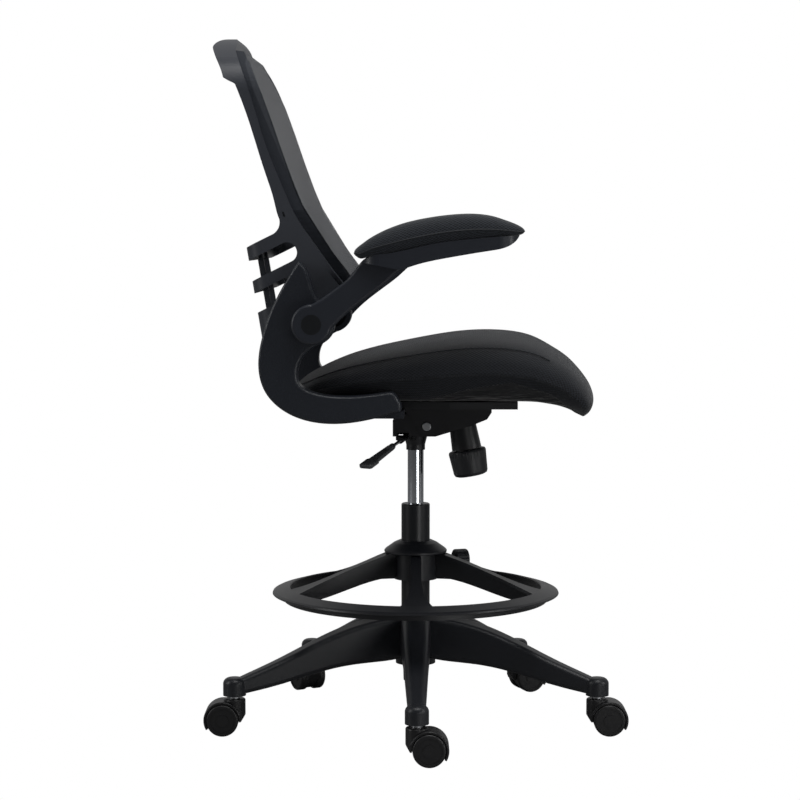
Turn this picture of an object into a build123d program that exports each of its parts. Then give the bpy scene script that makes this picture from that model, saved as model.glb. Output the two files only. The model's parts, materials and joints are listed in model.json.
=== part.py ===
from build123d import *
import os
from math import cos, radians, sin, tan

# Drafting chair on a five-leg base. Millimetres. +Z is up, the origin is on the floor under
# the column's axis, and the chair faces -Y, so the sitter's right side is -X.
# The seat, the back, the side supports and the arms are given in the seat frame, whose Z
# is counted from the underside of the seat board, SEAT_Z above the floor.

# ---- driving dimensions ---------------------------------------------------------------
GAP = 0.3                    # between faces of parts that move past each other
RUNNING = 0.05               # radial clearance of a shaft that turns or slides in its bore

# Base
LEG_COUNT = 5
LEG_PITCH = 360 / LEG_COUNT
BASE_HEADING = 182           # direction of the first leg, degrees from +X
STEM_CIRCLE_R = 329          # from the column's axis to each castor stem
LEG_WALL = 5
LEG_ROUND = 9
LEG_ROOT_WIDTH = 52
LEG_TIP_WIDTH = 28
HUB_R = 40
HUB_TOP_Z = 196
HUB_SKIRT_R = 35
HUB_BOTTOM_Z = 106
SOCKET_R = 19.8
SOCKET_BOTTOM_Z = 68
SOCKET_HEIGHT = 31

# Castors
WHEEL_R = 27.5
WHEEL_WIDTH = 17
CASTOR_WEB = 16              # the housing's thickness between the two wheels
CASTOR_TRAIL = 20            # from the stem to the wheels' axle
HOOD_R = 32.5
HOOD_THICKNESS = 3.6
HOOD_WIDTH = 47
STEM_R = 5.5
STEM_DEPTH = 28              # of each stem in its socket
CASTOR_TOP_Z = SOCKET_BOTTOM_Z - 5
AXLE_R = 3
CASTOR_HEADINGS = (-88, -88, -68, 32, 92)  # from each stem to its wheels, degrees from +X

# Column and gas lift
TUBE_R = 25
TUBE_WALL = 2
TUBE_TOP_Z = 386
TUBE_FOOT_R = 21.2
TUBE_FOOT_Z = 75
CYLINDER_R = 14
CYLINDER_WALL = 1.8
CYLINDER_BOTTOM_Z = 200
CYLINDER_TOP_Z = 535
BUSH_LENGTH = 75
ROD_R = 5
PISTON_Z = 330
PIN_R = 3.5

# Foot ring
RING_R = 252
RING_INNER_R = 221
RING_TOP_Z = 243
RING_HUB_R = 38
RING_HUB_BOTTOM_Z = 256
RING_HUB_TOP_Z = 324
RING_CAP_R = 55
RING_CAP_RIM_Z = 303
RING_BUSH_WALL = 2
KNOB_HEADING = 290           # direction of the clamp knob, degrees from +X
KNOB_R = 18
KNOB_LENGTH = 24
KNOB_Z = 286
KNOB_START_R = 72
STUD_R = 4

# Tilt mechanism
SEAT_Z = 571                 # underside of the seat board above the floor
PLATE_THICKNESS = 3
TILT_Y = -21
TILT_DROP = 41               # from the board's underside to the tilt pin
HOUSING_HALF = 60
HOUSING_WALL = 3
EAR_GAP = 1
EAR_WALL = 3
TILT_PIN_R = 5
CUP_BOTTOM_Z = 484
TENSION_Y = -90
TENSION_LEAN = 10            # degrees, the knob's end towards the front
TENSION_DROP = 87            # from the board's underside to the top of the tension knob
TENSION_KNOB_R = 33
TENSION_KNOB_HEIGHT = 46
TENSION_COVER_R = 26
LEVER_SLOPE = 3.5            # degrees, the lever's rod falls outwards
LEVER_SWEEP = 10             # degrees, the lever's rod turns to the rear
LEVER_ROD_R = 2.75
LEVER_PIN_R = 3
LEVER_LUGS = (-14.5, 10)     # along the lever's pin, from the rod towards the front
LEVER_HINGE = (-30, 17, -62.4)  # in the seat frame

# Seat
SEAT_WIDTH = 500
SEAT_FRONT_Y = -306
SEAT_REAR_Y = 205
SEAT_HEIGHT = 121            # crown of the cushion above the board's underside
BOARD_THICKNESS = 12
BOARD_MARGIN = 42            # from the cushion's side to the board's edge
SEAT_BOLT_X = 80
SEAT_BOLT_Y = (-112, 76)
BOLT_R = 3

# Side supports, back and arms
SUPPORT_X = SEAT_WIDTH / 2 - 17.5   # inner face of each support, outer face of the back
SUPPORT_THICKNESS = 34
SUPPORT_ROUND = 5
BACK_TOP = 626               # top of the back above the board's underside
UPPER_Y = -8                 # fore-and-aft setting of the supports, back and arms on the board
CAGE_WALL = 5
RIB_X = 46                   # from the middle to each of the two ribs that tie the slats
RIB_WIDTH = 12
RAIL_WIDTH = 24
CARRIER_WIDTH = 19
MESH_THICKNESS = 1.5
SLAT_SLOPE = -26.6           # degrees, the slats' edges fall to the rear
ARM_PIVOT = (169.5, 144)
ARM_HUB_R = 33
ARM_THICKNESS = 30
ARM_GAP = 0.5
ARM_PIN_R = 6
PAD_WIDTH = 82
PAD_BASE_WIDTH = 74
PAD_OVERHANG = 29.5          # pad's centre outside the support's outer face, less half the arm

parts = {}


# ---- helpers --------------------------------------------------------------------------
def outline(*stretches):
    """A face bounded by stretches of points: two points make a line, more make a curve."""
    edges = [Line(*points) if len(points) == 2 else Spline(*points) for points in stretches]
    return make_face(edges)


def across(face, x_low, x_high):
    """A prism along X with the face drawn in (Y, Z)."""
    return extrude(Plane.YZ.offset(x_low) * face, amount=x_high - x_low)


def standing(face, z_low, z_high):
    """A prism along Z with the face drawn in (X, Y)."""
    return extrude(Plane.XY.offset(z_low) * face, amount=z_high - z_low)


def facing(face, y_low, y_high):
    """A prism along Y with the face drawn in (X, Z)."""
    return extrude(Plane.XZ.offset(-y_high) * face, amount=y_high - y_low)


def turned(*points):
    """A solid of revolution about Z with its half section drawn in (radius, Z)."""
    return revolve(Plane.XZ * make_face(Polyline(*points, close=True)), Axis.Z)


def tube(outer, inner, z_low, z_high):
    return standing(Circle(outer) - Circle(inner), z_low, z_high)


def rod(radius, z_low, z_high):
    return standing(Circle(radius), z_low, z_high)


def rod_across(radius, x_low, x_high, y, z):
    return across(Pos(y, z) * Circle(radius), x_low, x_high)


def tapered(sections, shrink=0.0, drop=0.0, rounding=LEG_ROUND):
    """A rounded bar along X lofted through (x, width, z_low, z_high) sections."""
    faces = []
    for x, width, z_low, z_high in sections:
        size = (width - 2 * shrink, z_high - z_low)
        centre = Plane((x, 0, (z_low + z_high) / 2 - drop), x_dir=(0, 1, 0), z_dir=(1, 0, 0))
        faces.append(centre * RectangleRounded(*size, min(rounding, 0.3 * min(size))))
    return loft(faces)


def in_seat_frame(part):
    return Pos(0, 0, SEAT_Z) * part


def in_upper_frame(part):
    """The seat frame moved to where the supports, the back and the arms are set on the board."""
    return Pos(0, UPPER_Y, SEAT_Z) * part


def both_sides(right):
    """The right-hand piece, at -X, and its mirror image."""
    return right, mirror(right, Plane.YZ)


# ---- star base and column -------------------------------------------------------------
def leg_sections():
    """Stations along one leg: (radius, width, underside, top)."""
    root_r = 30
    tip_r = STEM_CIRCLE_R - 8
    tops = (194, 182, 160, 137, 114, 97)
    undersides = (119, 112, 103, 90, 77, SOCKET_BOTTOM_Z + 1)
    fractions = (0, 0.25, 0.48, 0.66, 0.85, 1)
    return [
        (
            root_r + f * (tip_r - root_r),
            LEG_ROOT_WIDTH + f * (LEG_TIP_WIDTH - LEG_ROOT_WIDTH),
            low,
            top,
        )
        for f, low, top in zip(fractions, undersides, tops)
    ]


def tube_shape(offset=0.0):
    """The column tube's outer shape: straight, then tapered from the hub's top down."""
    return turned(
        (0, TUBE_FOOT_Z),
        (TUBE_FOOT_R + offset, TUBE_FOOT_Z),
        (TUBE_R + offset, HUB_TOP_Z),
        (TUBE_R + offset, TUBE_TOP_Z),
        (0, TUBE_TOP_Z),
    )


def make_base():
    solid = tapered(leg_sections())
    hollow = tapered(leg_sections(), shrink=LEG_WALL, drop=LEG_WALL + 1)
    beams = solid - hollow
    for station in (110, 180, 245):
        beams += solid & (Pos(station, 0, HUB_BOTTOM_Z) * Box(3, HUB_R * 2, HUB_TOP_Z))
    socket = Pos(STEM_CIRCLE_R, 0, 0) * rod(SOCKET_R, SOCKET_BOTTOM_Z, SOCKET_BOTTOM_Z + SOCKET_HEIGHT)
    socket = fillet(socket.edges().group_by(Axis.Z)[-1], 11)
    bore = Pos(STEM_CIRCLE_R, 0, 0) * rod(STEM_R, SOCKET_BOTTOM_Z - 1, SOCKET_BOTTOM_Z + STEM_DEPTH)
    leg = beams + socket - bore
    hub = rod(HUB_R, HUB_BOTTOM_Z + 12, HUB_TOP_Z)
    hub = fillet(hub.edges().group_by(Axis.Z)[-1], 9)
    base = hub + rod(HUB_SKIRT_R, HUB_BOTTOM_Z, HUB_BOTTOM_Z + 12)
    for k in range(LEG_COUNT):
        base += Rot(0, 0, BASE_HEADING + k * LEG_PITCH) * leg
    return base - tube_shape()


def make_column():
    bore_r = TUBE_R - TUBE_WALL
    foot_bore_r = TUBE_FOOT_R - 2 * TUBE_WALL
    floor = 4
    bore = turned(
        (0, TUBE_FOOT_Z + floor),
        (foot_bore_r, TUBE_FOOT_Z + floor),
        (bore_r, HUB_TOP_Z + 20),
        (bore_r, TUBE_TOP_Z + 1),
        (0, TUBE_TOP_Z + 1),
    )
    parts["column_tube"] = tube_shape() - bore - rod(ROD_R + RUNNING, TUBE_FOOT_Z - 1, TUBE_FOOT_Z + 9)
    bush = tube(bore_r, CYLINDER_R + RUNNING, TUBE_TOP_Z - BUSH_LENGTH, TUBE_TOP_Z)
    rim = tube(TUBE_R, CYLINDER_R + RUNNING, TUBE_TOP_Z, TUBE_TOP_Z + 3)
    bush += chamfer(rim.edges().group_by(Axis.Z)[-1].sort_by(SortBy.RADIUS)[-1], 1.5)
    parts["column_bush"] = bush

    bearing_low = TUBE_FOOT_Z + floor
    parts["thrust_bearing"] = tube(ROD_R + 7, ROD_R + RUNNING, bearing_low, bearing_low + 5)
    parts["column_clip"] = tube(ROD_R + 5, ROD_R + RUNNING, TUBE_FOOT_Z - 2.2, TUBE_FOOT_Z)
    shaft = rod(ROD_R, TUBE_FOOT_Z - 5, PISTON_Z + 10)
    collar = rod(ROD_R + 5, bearing_low + 5 + GAP, bearing_low + 9)
    piston = rod(CYLINDER_R - CYLINDER_WALL - RUNNING, PISTON_Z, PISTON_Z + 12)
    end_ring = rod(ROD_R + 3, TUBE_FOOT_Z - 5, TUBE_FOOT_Z - 2.2 - GAP)
    parts["piston_rod"] = shaft + collar + piston + end_ring

    barrel = rod(CYLINDER_R, CYLINDER_BOTTOM_Z, CYLINDER_TOP_Z)
    barrel -= rod(CYLINDER_R - CYLINDER_WALL, CYLINDER_BOTTOM_Z + 14, CYLINDER_TOP_Z - 40)
    barrel -= rod(ROD_R + RUNNING, CYLINDER_BOTTOM_Z - 1, CYLINDER_BOTTOM_Z + 20)
    barrel -= rod(PIN_R + RUNNING, CYLINDER_TOP_Z - 30, CYLINDER_TOP_Z + 1)
    parts["gas_cylinder"] = barrel
    pin = rod(PIN_R, CYLINDER_TOP_Z - 20, CYLINDER_TOP_Z + 7)
    parts["release_pin"] = fillet(pin.edges().group_by(Axis.Z)[-1], 1)


# ---- castors --------------------------------------------------------------------------
# Each castor is drawn with its stem on Z and its wheels towards +X.
def along_axle(part):
    """Turns a part drawn about Z so that it lies about the axle, outwards along -Y."""
    return Pos(CASTOR_TRAIL, 0, WHEEL_R) * Rot(90, 0, 0) * part


def make_wheel():
    inner = CASTOR_WEB / 2 + 0.5
    outer = inner + WHEEL_WIDTH
    wheel = rod(WHEEL_R, inner, outer)
    wheel = fillet(wheel.edges(), 3.5)
    wheel -= tube(WHEEL_R - 6, 10, outer - 1.4, outer + 1)
    wheel -= rod(AXLE_R + RUNNING, inner - 1, outer - 4)
    return along_axle(wheel)


def make_housing():
    web = rod(WHEEL_R - 3, -CASTOR_WEB / 2, CASTOR_WEB / 2)
    reach = 2 * HOOD_R
    covered = Polyline(
        (0, 0),
        (reach * cos(radians(-30)), reach * sin(radians(-30))),
        (reach, reach),
        (-reach, reach),
        (reach * cos(radians(160)), reach * sin(radians(160))),
        close=True,
    )
    sector = make_face(covered)
    hood = extrude(Circle(HOOD_R) & sector, amount=HOOD_WIDTH / 2, both=True)
    hood_rim = hood.edges().filter_by(GeomType.CIRCLE)
    hood = fillet(hood_rim, 2.5)
    body = along_axle(web + hood)
    block = rod(SOCKET_R - 1, WHEEL_R - 4, CASTOR_TOP_Z - GAP)
    block = fillet(block.edges().group_by(Axis.Z)[-1], 3)
    lead = facing(
        make_face(Polyline((-30, 80), (-30, 52), (-9, 20), (CASTOR_TRAIL, 20), (CASTOR_TRAIL, 80), close=True)),
        -30,
        30,
    )
    body += block & lead
    wheel_room = WHEEL_R + 1.2
    for side in (1, -1):
        pocket = rod(wheel_room, CASTOR_WEB / 2, CASTOR_WEB / 2 + WHEEL_WIDTH + 10)
        body -= along_axle(pocket if side > 0 else mirror(pocket, Plane.XY))
    body -= along_axle(rod(AXLE_R, -CASTOR_WEB, CASTOR_WEB))
    body -= rod(STEM_R + RUNNING, CASTOR_TOP_Z - 26, CASTOR_TOP_Z + 5)
    return body


def make_castors():
    axle_half = CASTOR_WEB / 2 + WHEEL_WIDTH - 4
    housing = make_housing()
    axle = along_axle(rod(AXLE_R, -axle_half, axle_half))
    wheel = make_wheel()
    other_wheel = mirror(wheel, Plane.XZ)
    stem = rod(STEM_R, CASTOR_TOP_Z - 25, SOCKET_BOTTOM_Z + STEM_DEPTH)
    stem += rod(STEM_R + 4, CASTOR_TOP_Z, SOCKET_BOTTOM_Z)
    stems = []
    for k, heading in enumerate(CASTOR_HEADINGS):
        angle = radians(BASE_HEADING + k * LEG_PITCH)
        spot = Pos(STEM_CIRCLE_R * cos(angle), STEM_CIRCLE_R * sin(angle), 0)
        place = spot * Rot(0, 0, heading)
        name = f"castor_{k + 1}"
        parts[f"{name}_housing"] = place * housing
        parts[f"{name}_axle"] = place * axle
        parts[f"{name}_wheel_a"] = place * wheel
        parts[f"{name}_wheel_b"] = place * other_wheel
        stems.append(spot * stem)
    parts["castor_stems"] = Compound(children=stems)


# ---- foot ring ------------------------------------------------------------------------
def make_ring_spoke():
    """One spoke along +X: a web that falls to the rim, under a flange that flares into it."""
    end = RING_INNER_R + 8
    start = RING_HUB_R - 4
    top = [(start, 306), (0.35 * start + 0.65 * 0.5 * end, 291), (0.58 * end, 274), (end, RING_TOP_Z - 3)]
    web_face = outline(
        top,
        [(end, RING_TOP_Z - 3), (end, RING_TOP_Z - 22)],
        [(end, RING_TOP_Z - 22), (0.75 * end, 228), (0.45 * end, 249), (start, RING_HUB_BOTTOM_Z + 4)],
        [(start, RING_HUB_BOTTOM_Z + 4), (start, 306)],
    )
    web = facing(web_face, -4.5, 4.5)
    lowered = [(x, z - 6) for x, z in reversed(top)]
    skin = facing(outline(top, [top[-1], lowered[0]], lowered, [lowered[-1], top[0]]), -40, 40)
    half_widths = ((start, 7), (0.55 * end, 9), (0.82 * end, 15), (end, 32))
    near = list(half_widths)
    far = [(x, -w) for x, w in reversed(half_widths)]
    plan = outline(near, [near[-1], far[0]], far, [far[-1], near[0]])
    return web + (skin & standing(plan, 0, SEAT_Z))


def make_foot_ring():
    skirt_r = RING_R - 20
    rim = turned(
        (RING_INNER_R, RING_TOP_Z - 5.5),
        (RING_INNER_R, RING_TOP_Z - 1.5),
        (RING_INNER_R + 2, RING_TOP_Z),
        (RING_R - 5, RING_TOP_Z - 6.5),
        (RING_R - 1, RING_TOP_Z - 8.5),
        (RING_R, RING_TOP_Z - 11),
        (RING_R - 2, RING_TOP_Z - 12),
        (skirt_r, RING_TOP_Z - 8.5),
        (skirt_r, RING_TOP_Z - 23),
        (skirt_r - 5, RING_TOP_Z - 23),
        (skirt_r - 5, RING_TOP_Z - 7),
    )
    hub = rod(RING_HUB_R, RING_HUB_BOTTOM_Z, RING_CAP_RIM_Z + 4)
    hub += turned(
        (0, RING_CAP_RIM_Z),
        (RING_CAP_R - 1, RING_CAP_RIM_Z),
        (RING_CAP_R, RING_CAP_RIM_Z + 1),
        (RING_CAP_R, RING_CAP_RIM_Z + 4),
        (RING_CAP_R - 3, RING_CAP_RIM_Z + 7),
        (TUBE_R + 13, RING_HUB_TOP_Z - 4),
        (TUBE_R + 4, RING_HUB_TOP_Z),
        (0, RING_HUB_TOP_Z),
    )
    spoke = make_ring_spoke()
    ring = rim + hub
    for k in range(LEG_COUNT):
        ring += Rot(0, 0, BASE_HEADING + k * LEG_PITCH) * spoke
    boss = Pos(0, 0, KNOB_Z) * Rot(0, 90, 0) * rod(9, TUBE_R + 5, RING_HUB_R + 18)
    ring += Rot(0, 0, KNOB_HEADING) * boss
    bush_r = TUBE_R + RUNNING + RING_BUSH_WALL
    ring -= rod(bush_r, RING_HUB_BOTTOM_Z - 1, RING_HUB_TOP_Z + 1)
    stud_hole = Pos(0, 0, KNOB_Z) * Rot(0, 90, 0) * rod(STUD_R + RUNNING, TUBE_R, RING_CAP_R + 10)
    ring -= Rot(0, 0, KNOB_HEADING) * stud_hole
    parts["foot_ring"] = ring
    parts["foot_ring_bush"] = tube(bush_r, TUBE_R + RUNNING, RING_HUB_BOTTOM_Z, RING_HUB_TOP_Z)

    radial = Rot(0, 0, KNOB_HEADING) * Pos(0, 0, KNOB_Z) * Rot(0, 90, 0)
    grip = rod(KNOB_R, KNOB_START_R, KNOB_START_R + KNOB_LENGTH)
    grip = fillet(grip.edges(), 2.5)
    for k in range(10):
        flute = Rot(0, 0, 36 * k) * Pos(KNOB_R + 3.2, 0, 0) * rod(5, KNOB_START_R - 1, KNOB_START_R + KNOB_LENGTH + 1)
        grip -= flute
    grip += rod(9, KNOB_START_R - 12, KNOB_START_R + 2)
    stud_end = KNOB_START_R + KNOB_LENGTH - 8
    grip -= rod(STUD_R, KNOB_START_R - 20, stud_end)
    parts["foot_ring_knob"] = radial * grip
    parts["foot_ring_stud"] = radial * rod(STUD_R, bush_r + GAP, stud_end)


# ---- tilt mechanism -------------------------------------------------------------------
def tension_frame():
    """Z along the tension bolt, which leans forwards at its lower end; origin on the knob's top."""
    return Pos(0, TENSION_Y, SEAT_Z - TENSION_DROP) * Rot(-TENSION_LEAN, 0, 0)


# Side view of the housing's lower edge in the seat frame, from its rear corner forwards.
HOUSING_UNDERSIDE = ((38, -59), (-36, -59), (-62, -51), (-108, -36), (-125, -29), (-133, -17))


def housing_face(inset=0.0):
    """Side view of the housing in the seat frame, with its lower edge raised by the inset."""
    rear_corner, *middle, front_corner = HOUSING_UNDERSIDE
    rear = rear_corner[0] - inset
    front = front_corner[0] + inset
    lower = [(rear, rear_corner[1] + inset), *((y, z + inset) for y, z in middle), (front, front_corner[1] + inset)]
    return make_face(Polyline((rear, -31), *lower, (front, -9), (-12, -9), close=True))


def make_mechanism():
    half = HOUSING_HALF
    shell = across(housing_face(), -half, half)
    inside = across(housing_face(HOUSING_WALL), -half + HOUSING_WALL, half - HOUSING_WALL)
    open_top = across(
        make_face(Polyline((35, -34), (35, 20), (-130, 20), (-130, -12), (-12, -12), close=True)),
        -half + HOUSING_WALL,
        half - HOUSING_WALL,
    )
    housing = in_seat_frame(shell - inside - open_top)
    pivot_z = SEAT_Z - TILT_DROP
    housing -= rod_across(TILT_PIN_R, -half - 1, half + 1, TILT_Y, pivot_z)
    housing -= rod(21, SEAT_Z - 70, SEAT_Z - 40)
    housing -= tension_frame() * rod(8, 0, 90)
    x, y, z = LEVER_HINGE
    housing -= Pos((x - half) / 2 - 5, y + 3, SEAT_Z + z) * Box(half + x + 28, 19.5, 20)
    housing -= Pos(x, 0, SEAT_Z + z) * Box(20, 10.6, 20)
    lug = Box(11, 3, 11) - Rot(90, 0, 0) * Cylinder(LEVER_PIN_R + RUNNING, 10)
    for along in LEVER_LUGS:
        housing += lever_frame() * Pos(0, along, 0) * lug
    parts["mechanism_housing"] = housing

    cup = turned(
        (CYLINDER_R, CUP_BOTTOM_Z),
        (16.5, CUP_BOTTOM_Z),
        (16.5, CUP_BOTTOM_Z + 9),
        (21, CUP_BOTTOM_Z + 26),
        (21, CUP_BOTTOM_Z + 34),
        (15.3, CUP_BOTTOM_Z + 36),
        (15.3, CUP_BOTTOM_Z + 44),
        (CYLINDER_R, CUP_BOTTOM_Z + 44),
    )
    parts["taper_cup"] = cup

    ear_in = half + EAR_GAP
    ear_out = ear_in + EAR_WALL
    plate_face = Rectangle(2 * 98, 232)
    plate = Pos(0, -20, 0) * standing(plate_face, -PLATE_THICKNESS, 0)
    plate = fillet(plate.edges().filter_by(Axis.Z), 14)
    ear_face = make_face(
        Polyline((TILT_Y - 48, -1), (TILT_Y - 17, -TILT_DROP), (TILT_Y + 17, -TILT_DROP), (TILT_Y + 48, -1), close=True)
    )
    ear_face += Pos(TILT_Y, -TILT_DROP) * Circle(17)
    for side in (-1, 1):
        plate += across(ear_face, min(side * ear_in, side * ear_out), max(side * ear_in, side * ear_out))
    plate -= rod_across(TILT_PIN_R + RUNNING, -ear_out - 1, ear_out + 1, TILT_Y, -TILT_DROP)
    for x in (-SEAT_BOLT_X, SEAT_BOLT_X):
        for y in SEAT_BOLT_Y:
            plate -= Pos(x, y, 0) * rod(BOLT_R, -PLATE_THICKNESS - 1, 1)
    parts["seat_plate"] = in_seat_frame(plate)

    pin = rod_across(TILT_PIN_R, -ear_out - 1, ear_out + 1, TILT_Y, pivot_z)
    head = rod_across(7.4, -ear_out - 5, -ear_out - GAP, TILT_Y, pivot_z)
    head = fillet(head.edges(), 1.2)
    pin += head + mirror(head, Plane.YZ)
    parts["tilt_pin"] = pin


def make_tension():
    place = tension_frame()
    top = TENSION_DROP - 35
    cover = turned((0, 2), (TENSION_COVER_R, 2), (TENSION_COVER_R - 3, top), (0, top))
    cover -= turned((0, 0), (TENSION_COVER_R - 3, 0), (TENSION_COVER_R - 6, top + 1), (0, top + 1))
    below = across(
        make_face(Polyline(*HOUSING_UNDERSIDE, (-170, -10), (-170, -140), (38, -140), close=True)),
        -SEAT_WIDTH,
        SEAT_WIDTH,
    )
    parts["spring_cover"] = (place * cover) & in_seat_frame(below)

    turns = 5
    wire_r = 2.6
    coil_r = 14
    low = 6
    pitch = 7.2
    rings = [Pos(0, 0, low + pitch * k) * Torus(coil_r, wire_r) for k in range(turns)]
    parts["tension_spring"] = place * Compound(children=rings)
    nut_z = TENSION_DROP - 31
    bolt = rod(5, -18, nut_z + 2) + Pos(0, 0, nut_z) * extrude(RegularPolygon(9, 6), amount=7)
    bolt += rod(9, low + pitch * (turns - 1) + wire_r, low + pitch * (turns - 1) + wire_r + 2)
    parts["tension_bolt"] = place * bolt

    height = TENSION_KNOB_HEIGHT
    knob = turned(
        (0, -height),
        (TENSION_KNOB_R - 10, -height),
        (TENSION_KNOB_R - 5, -height + 2),
        (TENSION_KNOB_R - 3, -height + 6),
        (TENSION_KNOB_R, -4),
        (TENSION_KNOB_R - 1, -1),
        (TENSION_KNOB_R - 3, 0),
        (0, 0),
    )
    ribs = 36
    for k in range(ribs):
        groove = Pos(TENSION_KNOB_R + 0.4, 0, 0) * rod(1.5, -height + 5, -3)
        knob -= Rot(0, 0, 360 / ribs * k) * groove
    knob -= rod(5 + RUNNING, -20, 1)
    parts["tension_knob"] = place * knob


def lever_frame():
    """Origin on the lever's hinge; Z runs out along the lever's rod and X points down."""
    x, y, z = LEVER_HINGE
    return Pos(x, y, SEAT_Z + z) * Rot(0, 0, 180 - LEVER_SWEEP) * Rot(0, 90 + LEVER_SLOPE, 0)


def make_lever():
    place = lever_frame()
    x, y, z = LEVER_HINGE
    finger_z = CYLINDER_TOP_Z + 7 + GAP + 3
    sleeve = place * (rod(5.5, -4, 44) + Rot(90, 0, 0) * rod(LEVER_PIN_R, -y - 3, 16))
    side_view = Plane((0, 0, SEAT_Z + z), x_dir=(1, 0, 0), z_dir=(0, -1, 0))
    rise = finger_z - SEAT_Z - z
    elbow = (Pos(x + 2, rise - 2) * Circle(3)).edges()
    post = make_hull([*(Pos(x - 3, 0) * Circle(4)).edges(), *elbow])
    beam = make_hull([*elbow, *(Pos(0, rise) * Circle(3)).edges()])
    sleeve += extrude(side_view * (post + beam), amount=4, both=True)
    bore = place * rod(LEVER_ROD_R + RUNNING, 6, 50)
    parts["lever_sleeve"] = sleeve - bore

    bend = 130
    parts["lever_rod"] = place * rod(LEVER_ROD_R, 8, bend)
    half_face = [(6.5, 0), (9, 62), (12, 65), (12, 89), (9, 92)]
    paddle_face = make_face(Polyline(*half_face, *((-y, z) for y, z in reversed(half_face)), close=True))
    paddle = extrude(Plane.YZ * paddle_face, amount=3.5, both=True)
    flat_faces = paddle.faces().sort_by(Axis.X)
    paddle = chamfer(flat_faces[0].edges() + flat_faces[-1].edges(), 1.2)
    neck = rod(5.5, bend - 24, bend + 4)
    paddle = Pos(0, 0, bend - 12) * Rot(17, 12.5, 0) * paddle + fillet(neck.edges(), 1.5)
    paddle -= rod(LEVER_ROD_R, 0, bend)
    parts["lever_paddle"] = place * paddle


# ---- seat -----------------------------------------------------------------------------
def make_seat():
    half = SEAT_WIDTH / 2
    front = SEAT_FRONT_Y
    rear = SEAT_REAR_Y
    crown = SEAT_HEIGHT
    side = outline(
        [(rear - 4, 6), (rear, 22), (rear - 20, 44), (rear - 80, 72), (25, crown - 21), (-60, crown - 5)]
        + [(front + 172, crown), (front + 112, crown - 8), (front + 56, crown - 38), (front + 19, crown - 72)]
        + [(front, crown - 110), (front + 12, -24), (front + 22, -32)],
        [(front + 22, -32), (front + 42, -10), (front + 90, 3), (front + 150, 9), (-60, 5), (25, 2.5)],
        [(25, 2.5), (rear - 30, 2.5)],
        [(rear - 30, 2.5), (rear - 4, 6)],
    )
    front_view = outline(
        [(-half + 37, -60), (-half + 37, 7)],
        [(-half + 37, 7), (-half + 12, 38), (-half, 58), (-half + 14, 82), (-half + 50, 99), (-60, crown + 1)],
        [(-60, crown + 1), (60, crown + 1)],
        [(60, crown + 1), (half - 50, 99), (half - 14, 82), (half, 58), (half - 12, 38), (half - 37, 7)],
        [(half - 37, 7), (half - 37, -60)],
        [(half - 37, -60), (-half + 37, -60)],
    )
    plan = make_face(
        Polyline(
            (4 - half, front), (half - 4, front), (half, -60), (half - 30, rear), (30 - half, rear), (-half, -60),
            close=True,
        )
    )
    corners = plan.vertices().sort_by(Axis.Y)
    plan = fillet(corners[-2:], 60)
    plan = fillet(plan.vertices().group_by(Axis.Y)[0], 85)
    board_plan = offset(plan, amount=-BOARD_MARGIN)
    board = standing(board_plan, 0, BOARD_THICKNESS)
    board &= Pos(0, 25, 0) * Box(SEAT_WIDTH, rear - front - 110, 4 * BOARD_THICKNESS)
    past = 5
    cushion = across(side, -half - past, half + past) & facing(front_view, front - past, rear + past)
    cushion &= standing(plan, -100, 200)
    cushion -= board
    bolts = []
    for x in (-SEAT_BOLT_X, SEAT_BOLT_X):
        for y in SEAT_BOLT_Y:
            bolt = rod(BOLT_R, -PLATE_THICKNESS, BOARD_THICKNESS - 2)
            bolt += rod(2 * BOLT_R, -PLATE_THICKNESS - 3.5, -PLATE_THICKNESS)
            bolts.append(Pos(x, y, 0) * bolt)
            board -= Pos(x, y, 0) * rod(BOLT_R, -1, BOARD_THICKNESS - 2)
    for spot in support_bolt_spots():
        for x in (-spot[0], spot[0]):
            board -= Pos(x, spot[1] + UPPER_Y, 0) * rod(BOLT_R, -1, BOARD_THICKNESS - 2)
    parts["seat_board"] = in_seat_frame(board)
    parts["seat_cushion"] = in_seat_frame(cushion)
    parts["seat_bolts"] = in_seat_frame(Compound(children=bolts))


# ---- side supports --------------------------------------------------------------------
def support_bolt_spots():
    """Where each support is bolted up into the seat board: (distance from the middle, y)."""
    return ((SUPPORT_X - 47, 52), (SUPPORT_X - 52, 116))


BACK_BOLTS = ((184, 222), (216, 160))  # (y, z) of the bolts from the back into each support


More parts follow.
